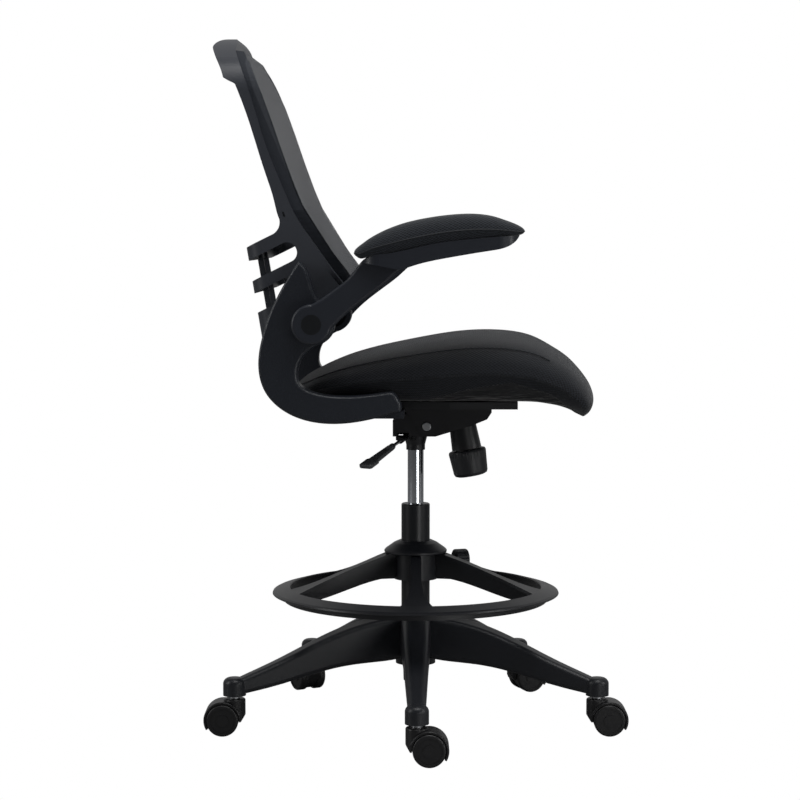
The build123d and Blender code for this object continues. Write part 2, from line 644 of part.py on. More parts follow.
def make_supports():
    hub_y, hub_z = ARM_PIVOT
    face = outline(
        [(192, 246), (205, 227), (231, 181), (253, 120), (259, 77), (249, 34), (209, -4)]
        + [(147, -20), (91, -16), (33, -1)],
        [(33, -1), (25, 2), (24, 8), (29, 20), (36, 30), (44, 32)],
        [(44, 32), (92, 26), (140, 26), (175, 34), (192, 46), (195, 62), (187, 88), (170, 104), (150, 114)],
        [(150, 114), (147, 172)],
        [(147, 172), (166, 192), (174, 216), (184, 238), (192, 246)],
    )
    face += Pos(hub_y, hub_z) * Circle(ARM_HUB_R + 3)
    body = across(face, -SUPPORT_X - SUPPORT_THICKNESS, -SUPPORT_X)
    outer = body.faces().sort_by(Axis.X)[0]
    body = fillet(outer.edges(), SUPPORT_ROUND)
    inner = body.faces().sort_by(Axis.X)[-1]
    body = fillet(inner.edges(), 2.5)
    flange_width = 68
    flange = Pos(-SUPPORT_X + flange_width / 2 - 12, 90, -6 - GAP / 2) * Box(flange_width + 24 - 12, 138, 12)
    flange = fillet(flange.edges().filter_by(Axis.Z).group_by(Axis.X)[-1], 18)
    body += flange
    recess = rod_across(ARM_HUB_R - 6, -SUPPORT_X - SUPPORT_THICKNESS + 14, -SUPPORT_X + 1, hub_y, hub_z)
    body -= recess
    body += rod_across(ARM_PIN_R + 5, -SUPPORT_X - SUPPORT_THICKNESS + 10, -SUPPORT_X - 6, hub_y, hub_z)
    body -= rod_across(ARM_PIN_R + RUNNING, -SUPPORT_X - SUPPORT_THICKNESS - 1, -SUPPORT_X + 1, hub_y, hub_z)
    for x, y in support_bolt_spots():
        body -= Pos(-x, y, 0) * rod(BOLT_R, -20, 5)
    for y, z in BACK_BOLTS:
        body -= rod_across(BOLT_R, -SUPPORT_X - 22, -SUPPORT_X + 1, y, z)
    right, left = both_sides(in_upper_frame(body))
    parts["right_support"] = right
    parts["left_support"] = left

    flange_low = -12 - GAP / 2
    bolts = []
    for x, y in support_bolt_spots():
        bolt = rod(BOLT_R, flange_low, BOARD_THICKNESS - 2) + rod(2 * BOLT_R, flange_low - 3.5, flange_low)
        bolts.append(Pos(-x, y, 0) * bolt)
    wall_in = -SUPPORT_X + CAGE_WALL
    for y, z in BACK_BOLTS:
        bolt = rod_across(BOLT_R, -SUPPORT_X - 20, wall_in, y, z)
        bolt += rod_across(2 * BOLT_R, wall_in, wall_in + 3.5, y, z)
        bolts.append(bolt)
    bolts += [mirror(bolt, Plane.YZ) for bolt in bolts]
    parts["support_bolts"] = in_upper_frame(Compound(children=bolts))


# ---- back -----------------------------------------------------------------------------
# Side-view curves of the back, from its foot to its top, in the seat frame.
MESH_CURVE = [(93, 198), (120, 235), (156, 287), (187, 337), (213, 402), (236, 469), (262, 541), (289, 594)]
GROOVE_CURVE = [(112, 198), (148, 245), (171, 278), (196, 315), (222, 371), (246, 430), (274, 520), (304, 596)]


def shifted(points, dy, dz=0.0):
    return [(y + dy, z + dz) for y, z in points]


def band(front_points, rear_points):
    """A side-view strip between two curves that both run from the foot to the top."""
    rear_down = list(reversed(rear_points))
    return outline(
        front_points,
        [front_points[-1], rear_down[0]],
        rear_down,
        [rear_down[-1], front_points[0]],
    )


def back_outline(foot, foot_half, top_half, inset=0.0):
    """Front view of the back: arched top, sides that close in towards the foot."""
    arch_drop = 62
    shoulder = BACK_TOP - arch_drop
    arch = ThreePointArc((-top_half, shoulder), (0, BACK_TOP), (top_half, shoulder))
    sides = Polyline(
        (top_half, shoulder), (top_half, 330), (foot_half, foot), (-foot_half, foot), (-top_half, 330), (-top_half, shoulder)
    )
    face = make_face([*arch.edges(), *sides.edges()])
    face = fillet(face.vertices().group_by(Axis.Y)[-1], 62)
    face = fillet(face.vertices().group_by(Axis.Y)[0], 36)
    return offset(face, amount=-inset) if inset else face


def slat_window(y_front, z_front, height):
    """A slot through the cage along X, round at its front end, that runs out at the rear."""
    length = 160
    slot = RectangleRounded(length, height, height / 2 - 0.5)
    centre = Pos(y_front, z_front) * Rot(0, 0, SLAT_SLOPE) * Pos(length / 2, 0)
    return across(centre * slot, -SUPPORT_X - 5, SUPPORT_X + 5)


def make_cage():
    """Lumbar cage: side walls and a rear wall, cut into three slats and tied by two ribs."""
    rear_top = (283, 268)
    rear_foot = (255, 101)
    lean = (rear_top[0] - rear_foot[0]) / (rear_top[1] - rear_foot[1])
    front_line = [(120, 196), (157, 245), (180, 278), (205, 315)]
    silhouette = outline(
        front_line,
        [(205, 315), (226, 315)],
        [(226, 315), (227, 302), (236, 291)],
        [(236, 291), rear_top],
        [rear_top, rear_foot],
        [rear_foot, (180, 130)],
        [(180, 130), (120, 196)],
    )
    outer = across(silhouette, -SUPPORT_X, SUPPORT_X)
    upright = [e for e in outer.edges() if abs(e.center().Y - (rear_top[0] + rear_foot[0]) / 2) < 1
               and abs(abs(e.center().X) - SUPPORT_X) < 1]
    outer = fillet(upright, 30)
    reach = 120
    room = make_face(
        Polyline(
            (rear_foot[0] - CAGE_WALL - reach * lean, rear_foot[1] - reach),
            (rear_top[0] - CAGE_WALL + reach * lean, rear_top[1] + reach),
            (-50, rear_top[1] + reach),
            (-50, rear_foot[1] - reach),
            close=True,
        )
    )
    inner = across(room, -SUPPORT_X + CAGE_WALL, SUPPORT_X - CAGE_WALL)
    rear_edges = inner.edges().filter_by(GeomType.LINE).filter_by(lambda e: abs(e.tangent_at(0).X) < 0.1)
    inner = fillet(rear_edges.sort_by(Axis.Y)[-2:], 25)
    cage = outer - inner
    cage -= slat_window(199, 268, 33)
    cage -= slat_window(196, 212, 31)
    rib = outline(
        [rear_foot, rear_top],
        [rear_top, (rear_top[0] - 9, rear_top[1] + 5)],
        [(rear_top[0] - 9, rear_top[1] + 5), (rear_foot[0] - 9, rear_foot[1] + 5)],
        [(rear_foot[0] - 9, rear_foot[1] + 5), rear_foot],
    )
    for x in (-RIB_X, RIB_X):
        cage += across(rib, x - RIB_WIDTH / 2, x + RIB_WIDTH / 2)
    return cage


def make_back():
    rails_rear = [(141, 196), (176, 245), (200, 280), (226, 315), (235, 347), (250, 394), (273, 468), (299, 538)]
    lip_top = [(344, 602), (341, 616), (326, 626), (306, 612)]
    rail_side = outline(
        GROOVE_CURVE,
        [GROOVE_CURVE[-1], (306, 612)],
        list(reversed(lip_top)),
        [(344, 602), (335, 585), (321, 557), (318, 547)],
        [(318, 547), (307, 541), (299, 538)],
        list(reversed(rails_rear)),
        [rails_rear[0], GROOVE_CURVE[0]],
    )
    rails = across(rail_side, -SUPPORT_X, SUPPORT_X)
    ring = back_outline(196, SUPPORT_X, SUPPORT_X) - back_outline(196, SUPPORT_X, SUPPORT_X, RAIL_WIDTH)
    top_fill = Pos(0, 600) * Rectangle(2 * SUPPORT_X, 104) & back_outline(196, SUPPORT_X, SUPPORT_X)
    frame = rails & facing(ring + top_fill, 0, 400)
    frame += make_cage()
    for y, z, lean in ((258, 411, 20), (219, 323, 70)):
        slit = Pos(y, z) * Rot(0, 0, lean) * SlotOverall(9, 3)
        for x in (-SUPPORT_X, SUPPORT_X):
            frame -= across(slit, x - 3, x + 3)
    for y, z in BACK_BOLTS:
        frame -= rod_across(BOLT_R, -SUPPORT_X - 1, SUPPORT_X + 1, y, z)
    parts["back_frame"] = in_upper_frame(frame)

    foot = 199
    half = SUPPORT_X - 1.5
    foot_half = SUPPORT_X - 32
    ring_outer = back_outline(foot, foot_half, half, 1.0)
    ring_inner = back_outline(foot, foot_half, half, CARRIER_WIDTH)
    mesh_rear = shifted(MESH_CURVE, MESH_THICKNESS)
    carrier = across(band(mesh_rear, GROOVE_CURVE), -SUPPORT_X, SUPPORT_X)
    carrier &= facing(ring_outer - ring_inner, 0, 400)
    parts["mesh_carrier"] = in_upper_frame(carrier)
    mesh = across(band(MESH_CURVE, mesh_rear), -SUPPORT_X, SUPPORT_X) & facing(ring_outer, 0, 400)
    parts["back_mesh"] = in_upper_frame(mesh)


# ---- arms -----------------------------------------------------------------------------
def make_arms():
    hub_y, hub_z = ARM_PIVOT
    inner_x = -SUPPORT_X - SUPPORT_THICKNESS - ARM_GAP
    outer_x = inner_x - ARM_THICKNESS
    tip = (-168, 289)
    shelf_top = [(89, 245), (79, 253), (45, 260), (-22, 274), (-90, 283), tip]
    under = [tip, (-163, 281), (-149, 271), (-120, 264), (-54, 253), (0, 241), (22, 233)]
    bar = outline(
        [(hub_y, hub_z + ARM_HUB_R), (149, 189), (130, 203), (111, 218), (99, 232), (89, 245)],
        shelf_top,
        under,
        [(22, 233), (33, 225), (46, 213), (66, 197), (143, 129)],
        [(143, 129), (hub_y, hub_z)],
        [(hub_y, hub_z), (hub_y, hub_z + ARM_HUB_R)],
    )
    body = across(bar + Pos(hub_y, hub_z) * Circle(ARM_HUB_R), outer_x, inner_x)
    side = body.faces().sort_by(Axis.X)[0]
    body = fillet(side.edges(), 5)
    side = body.faces().sort_by(Axis.X)[-1]
    body = fillet(side.edges(), 1.5)
    pad_x = -SUPPORT_X - SUPPORT_THICKNESS - PAD_OVERHANG + 18
    shelf = across(outline(shelf_top, under, [(22, 233), (89, 245)]), pad_x - PAD_BASE_WIDTH / 2, pad_x + PAD_BASE_WIDTH / 2)
    shelf_plan = Pos(pad_x, (89 + tip[0]) / 2) * RectangleRounded(PAD_BASE_WIDTH, 89 - tip[0], 32)
    body += shelf & standing(shelf_plan, 0, 400)
    cap_r = 16.5
    body -= rod_across(cap_r, outer_x - 1, outer_x + 3, hub_y, hub_z)
    body -= rod_across(ARM_PIN_R, outer_x - 1, inner_x + 1, hub_y, hub_z)
    right, left = both_sides(in_upper_frame(body))
    parts["right_arm"] = right
    parts["left_arm"] = left

    pad_face = outline(
        shelf_top[1:],
        [tip, (-174, 292), (-176, 297), (-171, 303), (-158, 309), (-124, 320), (-78, 324), (-29, 319), (28, 306)]
        + [(79, 281), (96, 267), (100, 262), (95, 254), (79, 253)],
    )
    pad = across(pad_face, pad_x - PAD_WIDTH / 2, pad_x + PAD_WIDTH / 2)
    pad_plan = Pos(pad_x, -38) * RectangleRounded(PAD_WIDTH, 278, 38)
    pad = (pad & standing(pad_plan, 0, 400)) - body
    right, left = both_sides(in_upper_frame(pad))
    parts["right_arm_pad"] = right
    parts["left_arm_pad"] = left

    cap = rod_across(cap_r, outer_x, outer_x + 3, hub_y, hub_z)
    shaft_end = -SUPPORT_X - 4
    shaft = rod_across(ARM_PIN_R, outer_x, shaft_end, hub_y, hub_z)
    right, left = both_sides(in_upper_frame(cap + shaft))
    parts["right_arm_pin"] = right
    parts["left_arm_pin"] = left


# ---- everything -----------------------------------------------------------------------
parts["star_base"] = make_base()
make_column()
make_castors()
make_foot_ring()
make_mechanism()
make_tension()
make_lever()
make_seat()
make_supports()
make_back()
make_arms()

os.makedirs("parts", exist_ok=True)
for name, shape in parts.items():
    export_step(shape, f"parts/{name}.step")
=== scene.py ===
import json
from math import radians, sqrt

import bmesh
import bpy
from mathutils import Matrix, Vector


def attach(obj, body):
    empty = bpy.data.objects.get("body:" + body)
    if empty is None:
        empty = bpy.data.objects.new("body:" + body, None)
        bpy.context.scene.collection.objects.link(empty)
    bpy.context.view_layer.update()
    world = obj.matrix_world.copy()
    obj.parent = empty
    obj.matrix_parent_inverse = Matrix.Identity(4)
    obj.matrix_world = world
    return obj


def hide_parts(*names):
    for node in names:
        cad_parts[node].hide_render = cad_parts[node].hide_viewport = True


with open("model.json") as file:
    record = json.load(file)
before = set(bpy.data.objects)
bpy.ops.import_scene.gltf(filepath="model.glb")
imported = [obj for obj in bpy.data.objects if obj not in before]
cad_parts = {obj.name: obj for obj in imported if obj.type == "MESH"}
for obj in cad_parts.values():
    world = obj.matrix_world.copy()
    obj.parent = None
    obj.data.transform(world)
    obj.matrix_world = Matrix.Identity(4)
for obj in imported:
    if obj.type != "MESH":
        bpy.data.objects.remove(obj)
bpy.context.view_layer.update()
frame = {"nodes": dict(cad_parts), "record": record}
nodes = frame["nodes"]

# ---- materials ------------------------------------------------------------------------


def material(name):
    """A new node material with its tree and its Principled shader."""
    mat = bpy.data.materials.new(name)
    mat.use_nodes = True
    tree = mat.node_tree
    shader = tree.nodes["Principled BSDF"]
    return mat, tree, shader


def add(tree, kind, **values):
    """A new node of a kind, with its settings."""
    node = tree.nodes.new(kind)
    for key, value in values.items():
        setattr(node, key, value)
    return node


def noise_of(tree, scale, detail):
    where = add(tree, "ShaderNodeTexCoord")
    noise = add(tree, "ShaderNodeTexNoise")
    noise.inputs["Scale"].default_value = scale
    noise.inputs["Detail"].default_value = detail
    tree.links.new(where.outputs["Object"], noise.inputs["Vector"])
    return noise


def bumped(tree, shader, height, strength, distance):
    bump = add(tree, "ShaderNodeBump")
    bump.inputs["Strength"].default_value = strength
    bump.inputs["Distance"].default_value = distance
    tree.links.new(height, bump.inputs["Height"])
    tree.links.new(bump.outputs["Normal"], shader.inputs["Normal"])


def plastic(name, color, rough, grain=700.0, bump=0.15, spread=0.06, specular=0.5):
    """Moulded plastic: fine grain in the bump and a slow drift in the roughness."""
    mat, tree, shader = material(name)
    shader.inputs["Base Color"].default_value = (*color, 1)
    shader.inputs["Specular IOR Level"].default_value = specular
    fine = noise_of(tree, grain, 2.0)
    bumped(tree, shader, fine.outputs["Fac"], bump, 0.0006)
    slow = noise_of(tree, 14.0, 3.0)
    span = add(tree, "ShaderNodeMapRange")
    span.inputs["To Min"].default_value = rough - spread
    span.inputs["To Max"].default_value = rough + spread
    tree.links.new(slow.outputs["Fac"], span.inputs["Value"])
    tree.links.new(span.outputs["Result"], shader.inputs["Roughness"])
    return mat


def metal(name, color, rough, grain=0.02):
    """Bare metal whose roughness drifts by the grain."""
    mat, tree, shader = material(name)
    shader.inputs["Base Color"].default_value = (*color, 1)
    shader.inputs["Metallic"].default_value = 1.0
    slow = noise_of(tree, 60.0, 2.0)
    span = add(tree, "ShaderNodeMapRange")
    span.inputs["To Min"].default_value = rough
    span.inputs["To Max"].default_value = rough + grain
    tree.links.new(slow.outputs["Fac"], span.inputs["Value"])
    tree.links.new(span.outputs["Result"], shader.inputs["Roughness"])
    return mat


def weave(name, low, high, pitch, rough=0.75, bump=0.5, open_part=0.0, sheen=0.2):
    """Knitted mesh on a piece whose UVs are in metres: staggered cells, dark in their middles."""
    mat, tree, shader = material(name)
    shader.inputs["Roughness"].default_value = rough
    shader.inputs["Sheen Weight"].default_value = sheen
    shader.inputs["Sheen Roughness"].default_value = 0.5
    shader.inputs["Specular IOR Level"].default_value = 0.25
    where = add(tree, "ShaderNodeUVMap")
    scaled = add(tree, "ShaderNodeMapping")
    scaled.inputs["Scale"].default_value = (1 / pitch, 0.62 / pitch, 1)
    scaled.inputs["Rotation"].default_value = (0, 0, radians(45))
    tree.links.new(where.outputs["UV"], scaled.inputs["Vector"])
    cells = add(tree, "ShaderNodeTexVoronoi", voronoi_dimensions="2D")
    cells.inputs["Scale"].default_value = 1.0
    cells.inputs["Randomness"].default_value = 0.12
    tree.links.new(scaled.outputs["Vector"], cells.inputs["Vector"])
    ramp = add(tree, "ShaderNodeValToRGB")
    ramp.color_ramp.elements[0].position = 0.28
    ramp.color_ramp.elements[0].color = (*low, 1)
    ramp.color_ramp.elements[1].position = 0.5
    ramp.color_ramp.elements[1].color = (*high, 1)
    tree.links.new(cells.outputs["Distance"], ramp.inputs["Fac"])
    tree.links.new(ramp.outputs["Color"], shader.inputs["Base Color"])
    bumped(tree, shader, cells.outputs["Distance"], bump, 0.0012)
    if open_part:
        hole = add(tree, "ShaderNodeMath", operation="GREATER_THAN")
        hole.inputs[1].default_value = open_part
        tree.links.new(cells.outputs["Distance"], hole.inputs[0])
        tree.links.new(hole.outputs["Value"], shader.inputs["Alpha"])
    return mat


def beyond_curve(tree, split, along_axis, across_axis, points, width):
    """1 where the across coordinate is below a curve across(along) in object space, else 0."""
    low, high = points[0][0], points[-1][0]
    least = min(value for at, value in points)
    most = max(value for at, value in points)
    along = add(tree, "ShaderNodeMapRange")
    along.inputs["From Min"].default_value = low
    along.inputs["From Max"].default_value = high
    tree.links.new(split.outputs[along_axis], along.inputs["Value"])
    ramp = add(tree, "ShaderNodeValToRGB")
    stops = ramp.color_ramp.elements
    while len(stops) < len(points):
        stops.new(0.5)
    for stop, (at, value) in zip(stops, points):
        stop.position = (at - low) / (high - low)
        grey = (value - least) / (most - least)
        stop.color = (grey, grey, grey, 1)
    tree.links.new(along.outputs["Result"], ramp.inputs["Fac"])
    curve = add(tree, "ShaderNodeMath", operation="MULTIPLY_ADD")
    curve.inputs[1].default_value = most - least
    curve.inputs[2].default_value = least
    tree.links.new(ramp.outputs["Color"], curve.inputs[0])
    below = add(tree, "ShaderNodeMath", operation="SUBTRACT")
    tree.links.new(curve.outputs["Value"], below.inputs[0])
    tree.links.new(split.outputs[across_axis], below.inputs[1])
    edge = add(tree, "ShaderNodeMapRange")
    edge.inputs["From Min"].default_value = -width
    edge.inputs["From Max"].default_value = width
    tree.links.new(below.outputs["Value"], edge.inputs["Value"])
    return edge.outputs["Result"]


def mixed(tree, factor, first, second, blend="MIX"):
    """A colour mix node; each input is a socket, a colour or a plain factor."""
    mix = add(tree, "ShaderNodeMix", data_type="RGBA", blend_type=blend)
    for value, socket in ((factor, mix.inputs[0]), (first, mix.inputs[6]), (second, mix.inputs[7])):
        if isinstance(value, tuple):
            socket.default_value = (*value, 1)
        elif isinstance(value, float):
            socket.default_value = value
        else:
            tree.links.new(value, socket)
    return mix.outputs[2]


def border_cloth_with_painted_backlight(name, dark, light, points, width):
    """Cloth on the back's rim: dark at the rear, with a painted backlight making it lighter in front
    of a curve y(z).
    """
    mat, tree, shader = material(name)
    shader.inputs["Roughness"].default_value = 0.7
    shader.inputs["Specular IOR Level"].default_value = 0.25
    where = add(tree, "ShaderNodeTexCoord")
    split = add(tree, "ShaderNodeSeparateXYZ")
    tree.links.new(where.outputs["Object"], split.inputs["Vector"])
    painted_backlight_front = beyond_curve(tree, split, "Z", "Y", [(z, y) for y, z in points], width)
    threads = add(tree, "ShaderNodeTexVoronoi")
    threads.inputs["Scale"].default_value = 520.0
    threads.inputs["Randomness"].default_value = 0.25
    tree.links.new(where.outputs["Object"], threads.inputs["Vector"])
    # the dark cloth, lightened by a painted backlight in front of the curve
    cloth = mixed(tree, painted_backlight_front, dark, light)
    speckled = mixed(tree, 0.55, cloth, threads.outputs["Distance"], "MULTIPLY")
    tree.links.new(speckled, shader.inputs["Base Color"])
    bumped(tree, shader, threads.outputs["Distance"], 0.4, 0.0008)
    return mat


def lined_weave(name, low, high, pitch, points, lining):
    """The seat's cloth: a weave, and below a curve z(y) the smooth gathered lining."""
    mat = weave(name, low, high, pitch, bump=0.6)
    tree = mat.node_tree
    shader = tree.nodes["Principled BSDF"]
    where = add(tree, "ShaderNodeTexCoord")
    split = add(tree, "ShaderNodeSeparateXYZ")
    tree.links.new(where.outputs["Object"], split.inputs["Vector"])
    under = beyond_curve(tree, split, "Y", "Z", points, 0.0015)
    woven = shader.inputs["Base Color"].links[0].from_socket
    bump = shader.inputs["Normal"].links[0].from_node
    cells = bump.inputs["Height"].links[0].from_socket
    gathers = add(tree, "ShaderNodeMapping")
    gathers.inputs["Rotation"].default_value = (radians(28), 0, 0)
    gathers.inputs["Scale"].default_value = (4, 7, 46)
    tree.links.new(where.outputs["Object"], gathers.inputs["Vector"])
    folds = add(tree, "ShaderNodeTexNoise")
    folds.inputs["Scale"].default_value = 1.6
    folds.inputs["Detail"].default_value = 3.0
    tree.links.new(gathers.outputs["Vector"], folds.inputs["Vector"])
    tree.links.new(mixed(tree, under, woven, lining), shader.inputs["Base Color"])
    tree.links.new(mixed(tree, under, cells, folds.outputs["Fac"]), bump.inputs["Height"])
    depth = add(tree, "ShaderNodeMapRange")
    depth.inputs["To Min"].default_value = 0.0012
    depth.inputs["To Max"].default_value = 0.03
    tree.links.new(under, depth.inputs["Value"])
    tree.links.new(depth.outputs["Result"], bump.inputs["Distance"])
    sheer = add(tree, "ShaderNodeMapRange")
    sheer.inputs["To Min"].default_value = 0.75
    sheer.inputs["To Max"].default_value = 0.42
    tree.links.new(under, sheer.inputs["Value"])
    tree.links.new(sheer.outputs["Result"], shader.inputs["Roughness"])
    return mat


looks = {
    "base_plastic": plastic("LookBase", (0.011, 0.0125, 0.0165), 0.40, 900, 0.12),
    "ring_plastic": plastic("LookRing", (0.009, 0.010, 0.013), 0.38, 900, 0.12),
    "castor_plastic": plastic("LookCastor", (0.007, 0.007, 0.008), 0.38, 900, 0.08),
    "wheel_plastic": plastic("LookWheel", (0.008, 0.008, 0.009), 0.42, 1200, 0.08),
    "knob_plastic": plastic("LookKnob", (0.012, 0.0135, 0.0165), 0.40, 1200, 0.08),
    "column_paint": plastic("LookColumn", (0.006, 0.0075, 0.010), 0.33, 500, 0.05, 0.03),
    "cover_plastic": plastic("LookCover", (0.008, 0.009, 0.011), 0.40, 900, 0.08),
    "bush_plastic": plastic("LookBush", (0.012, 0.013, 0.015), 0.35, 900, 0.05),
    "chrome_tube": metal("LookChrome", (0.80, 0.83, 0.88), 0.10),
    "steel": metal("LookSteel", (0.50, 0.51, 0.53), 0.28, 0.08),
    "mechanism_paint": plastic("LookMechanism", (0.006, 0.006, 0.008), 0.38, 400, 0.06),
    "lever_plastic": plastic("LookLever", (0.050, 0.052, 0.056), 0.40, 900, 0.08),
    "board_plastic": plastic("LookBoard", (0.009, 0.010, 0.012), 0.5, 700, 0.15),
    "support_plastic": plastic("LookSupport", (0.017, 0.020, 0.027), 0.34, 420, 0.7, 0.05),
    "arm_plastic": plastic("LookArm", (0.019, 0.022, 0.030), 0.38, 1100, 0.10),
    "frame_plastic": plastic("LookFrame", (0.040, 0.044, 0.054), 0.42, 1100, 0.08),
}
BORDER_BACKLIGHT_SPLIT = [  # (y, z) where the rim's dark cloth meets the painted backlight in front of it
    (0.109, 0.795), (0.134, 0.836), (0.168, 0.885), (0.193, 0.938), (0.208, 0.973), (0.224, 1.011),
    (0.242, 1.053), (0.26, 1.098), (0.275, 1.142),
]
# the rim's dark cloth and, in front of the curve, its lighter painted backlight tone
looks["border_fabric"] = border_cloth_with_painted_backlight(
    "LookBorderPaintedBacklight", (0.034, 0.039, 0.050), (0.066, 0.072, 0.086), BORDER_BACKLIGHT_SPLIT, 0.0012
)
LINING_TOP = [  # (y, z) where the seat's weave ends and its lining starts
    (-0.290, 0.556), (-0.271, 0.566), (-0.232, 0.597), (-0.166, 0.618),
    (-0.100, 0.608), (-0.04, 0.592), (0.0, 0.575),
]
seat_cloth = lined_weave(
    "LookCushionCloth", (0.0025, 0.003, 0.0045), (0.013, 0.016, 0.022), 0.0033,
    LINING_TOP, (0.011, 0.0115, 0.013)
)
pad_cloth = weave("LookPadCloth", (0.004, 0.005, 0.007), (0.025, 0.030, 0.039), 0.0030, bump=0.6)
back_cloth = weave(
    "LookBackCloth", (0.014, 0.016, 0.021), (0.048, 0.053, 0.064), 0.0024,
    rough=0.6, bump=0.3, open_part=0.22
)
seam_cloth = plastic("LookSeam", (0.010, 0.012, 0.016), 0.6, 1500, 0.3)
pin_cap = plastic("LookPinCap", (0.007, 0.008, 0.010), 0.36, 900, 0.06)

slot_of = {part["node"]: part["material_slot"] for part in frame["record"]["subparts"]}
for node_name, node in nodes.items():
    look = looks.get(slot_of[node_name])
    if node_name.endswith("arm_pin"):
        look = pin_cap
    if look is not None:
        node.data.materials.clear()
        node.data.materials.append(look)

# ---- soft pieces ----------------------------------------------------------------------
MM = 0.001


def catmull(points, count):
    """A smooth row of count tuples through the given tuples, evenly spread over them."""
    last = len(points) - 1
    row = []
    for k in range(count):
        at = k * last / (count - 1)
        i = min(int(at), last - 1)
        t = at - i
        p0 = points[max(i - 1, 0)]
        p1 = points[i]
        p2 = points[i + 1]
        p3 = points[min(i + 2, last)]
        row.append(
            tuple(
                0.5 * (2 * b + (c - a) * t
                       + (2 * a - 5 * b + 4 * c - d) * t * t
                       + (3 * b - a - 3 * c + d) * t**3)
                for a, b, c, d in zip(p0, p1, p2, p3)
            )
        )
    return row


def new_object(name, verts, faces, mat, uvs=None):
    """A smooth-shaded object with one material."""
    mesh = bpy.data.meshes.new(name)
    mesh.from_pydata([tuple(v) for v in verts], [], faces)
    mesh.update()
    if uvs is not None:
        layer = mesh.uv_layers.new(name="UVMap")
        for loop in mesh.loops:
            layer.data[loop.index].uv = uvs[loop.vertex_index]
    obj = bpy.data.objects.new(name, mesh)
    bpy.context.scene.collection.objects.link(obj)
    mesh.materials.append(mat)
    for poly in mesh.polygons:
        poly.use_smooth = True
    return obj


def cushion(name, stations, section, x_centre, mat, rows, columns):
    """A closed soft body lofted through (top y, z, bottom y, z, half width) stations."""
    rows_at = catmull(stations, rows)
    half = catmull(section, columns // 2 + 1)
    top = [(-x, t) for x, t in reversed(half)] + half[1:]
    underside = [(1.0, section[-1][1]), (0.92, 0.10), (0.80, 0.0), (0.4, 0.0), (0.0, 0.0)]
    lower = catmull(underside, columns // 2 + 1)
    bottom = [(-x, t) for x, t in lower] + list(reversed(lower))[1:]
    ring = top + list(reversed(bottom))[1:-1]
    verts, uvs = [], []
    along = 0.0
    before = None
    for ty, tz, by, bz, w in rows_at:
        if before is not None:
            along += sqrt((ty - before[0]) ** 2 + (tz - before[1]) ** 2)
        before = (ty, tz)
        around = 0.0
        last = None
        for x, t in ring:
            y = by + (ty - by) * t
            z = bz + (tz - bz) * t
            spot = (x_centre + x * w, y, z)
            if last is not None:
                around += sqrt((spot[0] - last[0]) ** 2 + (spot[2] - last[2]) ** 2)
            last = spot
            verts.append(tuple(v * MM for v in spot))
            uvs.append((around * MM, along * MM))
    count = len(ring)
    faces = []
    for r in range(rows - 1):
        for c in range(count):
            d = (c + 1) % count
            faces.append((r * count + c, r * count + d, (r + 1) * count + d, (r + 1) * count + c))
    tops = len(top)
    for r, flip in ((0, False), (rows - 1, True)):
        for c in range(tops - 1):
            a, b = c, c + 1
            low_a = (count - c) % count
            low_b = (count - c - 1) % count
            corners = [a, b, low_b, low_a]
            if len(set(corners)) < 4:
                corners = [k for i, k in enumerate(corners) if k not in corners[:i]]
            quad = [r * count + k for k in corners]
            faces.append(tuple(reversed(quad)) if not flip else tuple(quad))
    obj = new_object(name, verts, faces, mat, uvs)
    bm = bmesh.new()
    bm.from_mesh(obj.data)
    bmesh.ops.recalc_face_normals(bm, faces=bm.faces)
    bm.to_mesh(obj.data)
    bm.free()
    smooth = obj.modifiers.new("Smooth", "SUBSURF")
    smooth.levels = 1
    smooth.render_levels = 1
    return obj, rows_at


def cord_along(name, points, radius, mat, closed=False):
    """A round bead along a row of points in millimetres."""
    curve = bpy.data.curves.new(name, "CURVE")
    curve.dimensions = "3D"
    curve.bevel_depth = radius * MM
    curve.bevel_resolution = 3
    curve.use_fill_caps = True
    line = curve.splines.new("POLY")
    line.points.add(len(points) - 1)
    for point, spot in zip(line.points, points):
        point.co = (*[v * MM for v in spot], 1)
    line.use_cyclic_u = closed
    source = bpy.data.objects.new(name, curve)
    bpy.context.scene.collection.objects.link(source)
    bpy.context.view_layer.update()
    mesh = bpy.data.meshes.new_from_object(source.evaluated_get(bpy.context.evaluated_depsgraph_get()))
    bpy.data.objects.remove(source)
    mesh.name = name
    obj = bpy.data.objects.new(name, mesh)
    bpy.context.scene.collection.objects.link(obj)
    mesh.materials.clear()
    mesh.materials.append(mat)
    for poly in mesh.polygons:
        poly.use_smooth = True
    return obj


SEAT_STATIONS = [  # (top y, top z, bottom y, bottom z, half width) from the rear forwards
    (203.5, 596, 203, 588, 150), (201, 605, 200, 585, 178), (192, 613, 188, 584, 196),
    (174, 623, 165, 584, 210), (150, 635, 140, 584, 219), (115, 649, 105, 584, 228),
    (70, 662, 60, 584, 235), (20, 673, 15, 584, 242), (-38, 684, -35, 584, 248),
    (-82, 690, -80, 585, 249.5), (-128, 692, -115, 585, 249.5), (-172, 689, -152, 584, 248.5),
    (-208, 680, -182, 584, 247), (-243, 661, -206, 583, 244), (-268, 644, -226, 580, 240),
    (-289, 622, -241, 577, 234), (-300, 606, -251, 574, 229), (-305.5, 590, -259, 571, 224),
    (-305, 577, -265, 568, 218), (-299, 565, -271, 564, 209), (-289, 558, -279, 560, 195),
]
SEAT_SECTION = [(0, 1), (0.3, 0.998), (0.6, 0.965), (0.84, 0.87), (0.965, 0.68), (1.0, 0.45)]
seat, seat_rows = cushion("CushionMain", SEAT_STATIONS, SEAT_SECTION, 0, seat_cloth, 72, 56)
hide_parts("seat_cushion")
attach(seat, "seat")


